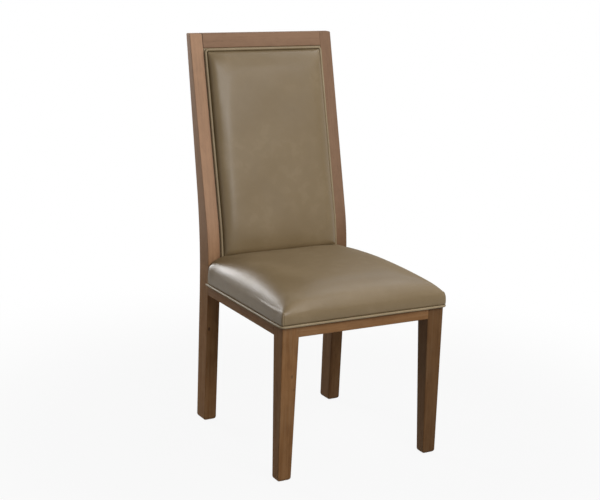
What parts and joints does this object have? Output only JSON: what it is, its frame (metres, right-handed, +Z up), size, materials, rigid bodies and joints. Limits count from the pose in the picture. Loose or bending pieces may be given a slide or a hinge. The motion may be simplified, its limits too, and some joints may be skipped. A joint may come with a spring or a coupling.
{
  "type": "dining chair",
  "caption": "High-backed wooden side chair with raked one-piece rear posts, tapered front legs, a crowned leather seat over the rails and a welted leather back pad.",
  "frame": {"origin": "centre of the bounding box in plan, on the floor under the glides", "axes": "+Z up, -Y the way the chair faces, +X to the right for someone who looks at its front"},
  "size_m": [0.4972, 0.627, 1.067],
  "materials": {
    "frame_wood": "medium brown, lightly weathered, semi-matte",
    "inner_wood": "unfinished",
    "plywood": "unfinished panel",
    "leather": "smooth taupe, semi-gloss",
    "welt_leather": "smooth taupe, semi-gloss",
    "foam": "open-cell foam",
    "card": "matte",
    "dust_cloth": "matte non-woven",
    "screw_steel": "bright zinc",
    "glide_plastic": "moulded"
  },
  "bodies": {
    "root": {"rear_post_left": "frame_wood", "rear_post_right": "frame_wood", "front_leg_left": "frame_wood", "front_leg_right": "frame_wood", "front_apron": "frame_wood", "rear_apron": "frame_wood", "side_apron_left": "frame_wood", "side_apron_right": "frame_wood", "top_rail": "frame_wood", "lower_back_rail": "frame_wood", "back_batten_left": "inner_wood", "back_batten_right": "inner_wood", "corner_block_front_left": "inner_wood", "corner_block_front_right": "inner_wood", "corner_block_rear_left": "inner_wood", "corner_block_rear_right": "inner_wood", "block_screws": "screw_steel", "seat_screws": "screw_steel", "batten_screws": "screw_steel", "pad_screws": "screw_steel", "seat_board": "plywood", "seat_foam": "foam", "seat_wadding": "foam", "seat_tack_strip": "card", "seat_cover": "leather", "seat_welt": "welt_leather", "dust_cover": "dust_cloth", "back_board": "plywood", "back_foam": "foam", "back_cover": "leather", "back_welt": "welt_leather", "outside_board": "plywood", "outside_cover": "leather", "outside_welt": "welt_leather", "glide_front_left": "glide_plastic", "glide_front_right": "glide_plastic", "glide_rear_left": "glide_plastic", "glide_rear_right": "glide_plastic"}
  },
  "joints": []
}
